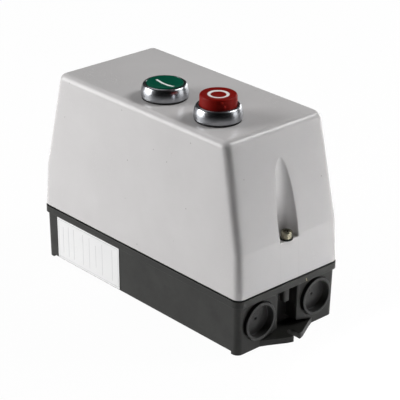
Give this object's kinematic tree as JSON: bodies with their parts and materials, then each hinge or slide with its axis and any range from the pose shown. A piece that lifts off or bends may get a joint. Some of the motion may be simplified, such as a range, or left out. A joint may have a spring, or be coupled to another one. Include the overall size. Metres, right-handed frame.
{
  "type": "magnetic motor starter",
  "caption": "Enclosed magnetic motor starter: tapered grey cover with green start and red stop buttons, on a black wall tray with plugged cable entries, over a contactor and overload relay.",
  "frame": {"origin": "centre of the back plane, on the wall", "axes": "+Z out of the wall through the cover, +X along the length towards the lower cable entries, -Y towards the rating plate side"},
  "size_m": [0.2008, 0.086, 0.1483],
  "materials": {
    "cover_plastic": "fine moulded texture",
    "tray_plastic": "satin moulded",
    "plug_plastic": "satin moulded",
    "seal_rubber": "matt",
    "label_film": "semi gloss film",
    "zinc_steel": "zinc plated",
    "bezel_chrome": "satin chrome",
    "start_green": "satin",
    "stop_red": "satin",
    "body_plastic": "satin",
    "contactor_plastic": "satin moulded",
    "carrier_plastic": "satin moulded",
    "relay_plastic": "satin moulded",
    "relay_front_plastic": "satin moulded",
    "dial_plastic": "satin",
    "plunger_blue": "satin",
    "core_steel": "laminated",
    "contact_brass": "bare",
    "coil_tape": "wound tape",
    "bobbin_plastic": "satin",
    "spring_steel": "bare",
    "rail_steel": "zinc plated"
  },
  "bodies": {
    "tray": {"base_tray": "tray_plastic", "rating_plate": "label_film", "plug_lower_left": "plug_plastic", "plug_lower_right": "plug_plastic", "plug_upper_left": "plug_plastic", "plug_upper_right": "plug_plastic", "mounting_rail": "rail_steel", "tray_screws": "zinc_steel", "earth_terminal": "contact_brass", "contactor_coil_housing": "contactor_plastic", "contactor_contact_housing": "contactor_plastic", "core_buffer": "seal_rubber", "fixed_core": "core_steel", "shading_rings": "contact_brass", "coil_bobbin": "bobbin_plastic", "coil_winding": "coil_tape", "fixed_contacts": "contact_brass", "terminal_clamps": "zinc_steel", "terminal_screws": "zinc_steel", "contactor_return_springs": "spring_steel", "start_block": "relay_plastic", "start_block_screws": "zinc_steel", "start_fixed_contacts": "contact_brass", "relay_housing": "relay_plastic", "relay_front": "relay_front_plastic", "relay_link_pins": "contact_brass", "bimetal_strips": "spring_steel", "heater_sleeves": "bobbin_plastic", "trip_contacts": "contact_brass", "relay_contact_strips": "contact_brass"},
    "cover": {"cover": "cover_plastic", "cover_gasket": "seal_rubber", "screw_washers": "seal_rubber", "start_bezel": "bezel_chrome", "start_seal": "seal_rubber", "start_body": "body_plastic", "start_lock_nut": "body_plastic", "start_spring": "spring_steel", "stop_bezel": "bezel_chrome", "stop_seal": "seal_rubber", "stop_body": "body_plastic", "stop_lock_nut": "body_plastic", "stop_spring": "spring_steel"},
    "lower_screw": {"cover_screw_lower": "zinc_steel"},
    "upper_screw": {"cover_screw_upper": "zinc_steel"},
    "start_button": {"start_cap": "start_green", "start_rod": "body_plastic"},
    "stop_button": {"stop_cap": "stop_red", "stop_rod": "body_plastic"},
    "carrier": {"armature": "core_steel", "contact_carrier": "carrier_plastic", "moving_contacts": "contact_brass", "contact_springs": "spring_steel"},
    "block_plunger": {"start_plunger": "dial_plastic", "start_moving_contact": "contact_brass"},
    "relay_plunger": {"relay_stop_plunger": "plunger_blue"},
    "dial": {"current_dial": "dial_plastic"},
    "latch": {"rail_latch": "carrier_plastic"},
    "slider": {"trip_slider": "carrier_plastic"}
  },
  "joints": [
    {"name": "cover_lift", "type": "slide", "parent": "tray", "child": "cover", "axis": [0, 0, 1], "range_m": [0, 0.12]},
    {"name": "lower_screw_turn", "type": "hinge", "parent": "cover", "child": "lower_screw", "pos_m": [0.0887, 0, 0.065], "axis": [0, 0, 1], "continuous": true},
    {"name": "upper_screw_turn", "type": "hinge", "parent": "cover", "child": "upper_screw", "pos_m": [-0.0887, 0, 0.065], "axis": [0, 0, 1], "continuous": true},
    {"name": "start_press", "type": "slide", "parent": "cover", "child": "start_button", "axis": [0, 0, -1], "range_m": [0, 0.0052], "stiffness_N_per_m": 500, "springref_m": -0.004, "deforming": ["start_spring"]},
    {"name": "stop_press", "type": "slide", "parent": "cover", "child": "stop_button", "axis": [0, 0, -1], "range_m": [0, 0.0052], "stiffness_N_per_m": 500, "springref_m": -0.004, "deforming": ["stop_spring"]},
    {"name": "block_plunger_push", "type": "slide", "parent": "tray", "child": "block_plunger", "axis": [0, 0, -1], "range_m": [0, 0.0052], "stiffness_N_per_m": 60, "springref_m": -0.004},
    {"name": "relay_plunger_push", "type": "slide", "parent": "tray", "child": "relay_plunger", "axis": [0, 0, -1], "range_m": [0, 0.0052], "stiffness_N_per_m": 60, "springref_m": -0.004},
    {"name": "contactor_close", "type": "slide", "parent": "tray", "child": "carrier", "axis": [0, 0, -1], "range_m": [0, 0.006], "stiffness_N_per_m": 300, "springref_m": -0.008, "deforming": ["contactor_return_springs"]},
    {"name": "trip_slide", "type": "slide", "parent": "tray", "child": "slider", "axis": [0, 1, 0], "range_m": [0, 0.002], "stiffness_N_per_m": 150, "springref_m": -0.001},
    {"name": "dial_turn", "type": "hinge", "parent": "tray", "child": "dial", "pos_m": [0.056, 0.0065, 0.084], "axis": [0, 0, 1], "range_deg": [-135, 135]},
    {"name": "latch_pull", "type": "slide", "parent": "tray", "child": "latch", "axis": [1, 0, 0], "range_m": [0, 0.004], "stiffness_N_per_m": 800, "springref_m": -0.002}
  ],
  "couplings": [
    {"joint": "block_plunger_push", "follows": "start_press", "ratio": 1},
    {"joint": "relay_plunger_push", "follows": "stop_press", "ratio": 1}
  ]
}
